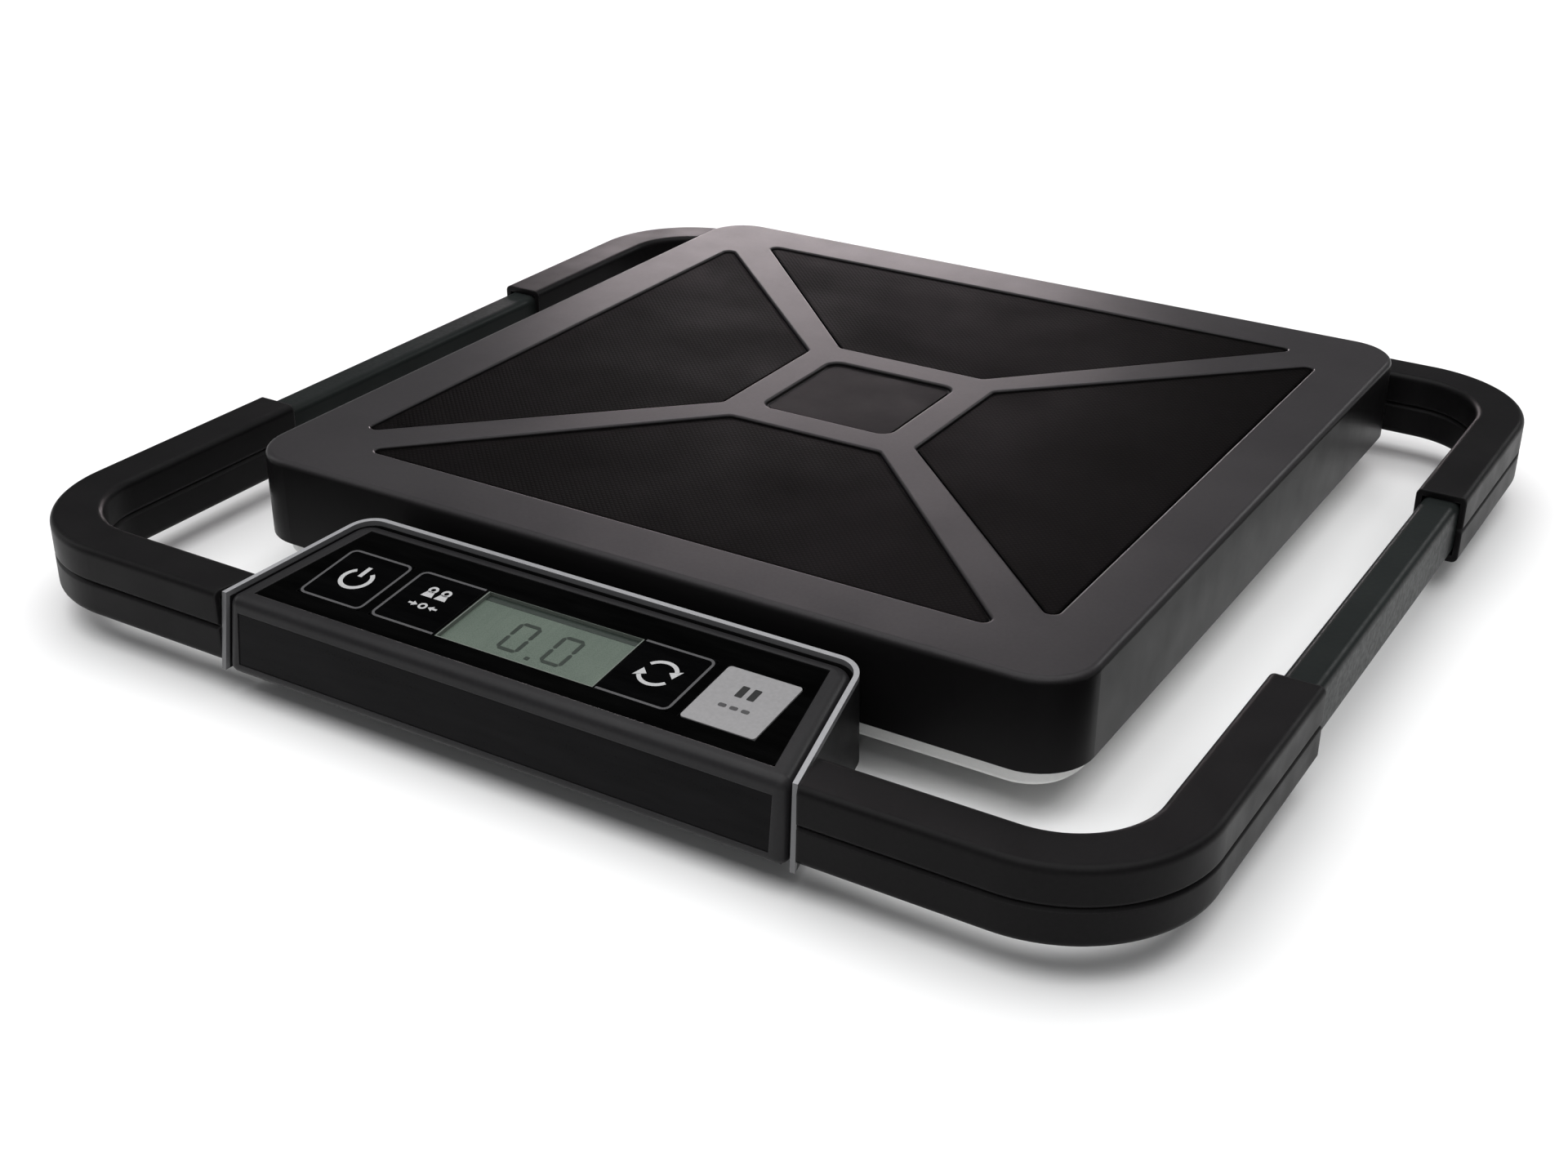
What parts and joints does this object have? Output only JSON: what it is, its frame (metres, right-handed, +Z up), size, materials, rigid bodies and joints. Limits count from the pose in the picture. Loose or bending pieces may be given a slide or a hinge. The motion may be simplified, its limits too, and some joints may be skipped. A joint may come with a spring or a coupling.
{
  "type": "platform shipping scale",
  "caption": "Low square weighing platform on a base tray, ringed by a tubular frame with moulded corner sleeves and a removable display console at the front.",
  "frame": {"origin": "on the floor, at the middle of the whole scale's outline seen from above", "axes": "+X to the right of someone facing the display, +Y to the back, away from them, +Z up"},
  "size_m": [0.403, 0.386, 0.047],
  "materials": {
    "platform_shell": "satin moulded charcoal",
    "pad_rubber": "fine crosshatch texture",
    "badge": "satin black plaque",
    "zinc_steel": "zinc-plated sheet",
    "button_steel": "turned",
    "tray_plastic": "light grey moulded",
    "cell_steel": "nickel-plated",
    "holder_plastic": "moulded",
    "foot_rubber": "matte",
    "circuit_board": "solder mask",
    "component_black": "moulded",
    "lead_grey": "flexible sheath",
    "screw_steel": "zinc-plated",
    "tube_coat": "satin powder coat",
    "sleeve_plastic": "matte moulded",
    "cradle_plastic": "matte moulded",
    "trim_silver": "silver-grey bead",
    "housing_plastic": "satin dark grey",
    "window_gloss": "glossy black",
    "fascia_gloss": "semi-gloss black",
    "lcd_glass": "liquid-crystal cell",
    "backlight_white": "diffuser",
    "port_metal": "nickel-plated",
    "battery_label": "printed sleeve",
    "key_gloss": "glossy black",
    "key_silver": "silver-grey"
  },
  "bodies": {
    "base": {"base_tray": "tray_plastic", "load_cell_front_left": "cell_steel", "load_cell_front_right": "cell_steel", "load_cell_rear_left": "cell_steel", "load_cell_rear_right": "cell_steel", "foot_front_left": "foot_rubber", "foot_front_right": "foot_rubber", "foot_rear_left": "foot_rubber", "foot_rear_right": "foot_rubber", "cell_holders": "holder_plastic", "board_standoffs": "holder_plastic", "junction_board": "circuit_board", "junction_components": "component_black", "sensor_leads": "lead_grey", "trunk_lead": "lead_grey", "front_straps": "zinc_steel", "rear_straps": "zinc_steel", "tray_screws": "screw_steel", "cradle_screws": "screw_steel", "tube_screws": "screw_steel", "frame_tube": "tube_coat", "sleeve_front_right_upper": "sleeve_plastic", "sleeve_front_right_lower": "sleeve_plastic", "sleeve_front_left_upper": "sleeve_plastic", "sleeve_front_left_lower": "sleeve_plastic", "sleeve_rear_right_upper": "sleeve_plastic", "sleeve_rear_right_lower": "sleeve_plastic", "sleeve_rear_left_upper": "sleeve_plastic", "sleeve_rear_left_lower": "sleeve_plastic", "sleeve_screws": "screw_steel", "cradle": "cradle_plastic", "cradle_trim": "trim_silver", "dock_plug": "component_black"},
    "platform": {"platform_cover": "platform_shell", "pad_front": "pad_rubber", "pad_right": "pad_rubber", "pad_rear": "pad_rubber", "pad_left": "pad_rubber", "centre_badge": "badge", "support_pan": "zinc_steel", "load_buttons": "button_steel"},
    "display_unit": {"display_housing": "housing_plastic", "display_back": "housing_plastic", "display_window": "window_gloss", "front_fascia": "fascia_gloss", "lcd_module": "lcd_glass", "lcd_backlight": "backlight_white", "main_board": "circuit_board", "key_switches": "component_black", "usb_port": "port_metal", "power_inlet": "component_black", "dock_socket": "component_black", "batteries": "battery_label", "battery_contacts": "port_metal"},
    "key_power": {"key_power": "key_gloss"},
    "key_tare": {"key_tare": "key_gloss"},
    "key_units": {"key_units": "key_gloss"},
    "key_hold": {"key_hold": "key_silver"},
    "battery_door": {"battery_door": "housing_plastic"}
  },
  "joints": [
    {"name": "platform_deflection", "type": "slide", "parent": "base", "child": "platform", "axis": [0, 0, 1], "range_m": [-0.0004, 0], "stiffness_N_per_m": 60000, "springref_m": 0.00022},
    {"name": "display_dock", "type": "slide", "parent": "base", "child": "display_unit", "axis": [0, -0.9932, -0.1167], "range_m": [0, 0.055]},
    {"name": "battery_door_hinge", "type": "hinge", "parent": "display_unit", "child": "battery_door", "pos_m": [0, -0.14463, 0.01607], "axis": [1, 0, 0], "range_deg": [0, 20]},
    {"name": "key_power_press", "type": "slide", "parent": "display_unit", "child": "key_power", "axis": [0, 0.1167, -0.9932], "range_m": [0, 0.0005], "stiffness_N_per_m": 600, "springref_m": -0.0006},
    {"name": "key_tare_press", "type": "slide", "parent": "display_unit", "child": "key_tare", "axis": [0, 0.1167, -0.9932], "range_m": [0, 0.0005], "stiffness_N_per_m": 600, "springref_m": -0.0006},
    {"name": "key_units_press", "type": "slide", "parent": "display_unit", "child": "key_units", "axis": [0, 0.1167, -0.9932], "range_m": [0, 0.0005], "stiffness_N_per_m": 600, "springref_m": -0.0006},
    {"name": "key_hold_press", "type": "slide", "parent": "display_unit", "child": "key_hold", "axis": [0, 0.1167, -0.9932], "range_m": [0, 0.0005], "stiffness_N_per_m": 600, "springref_m": -0.0006}
  ]
}
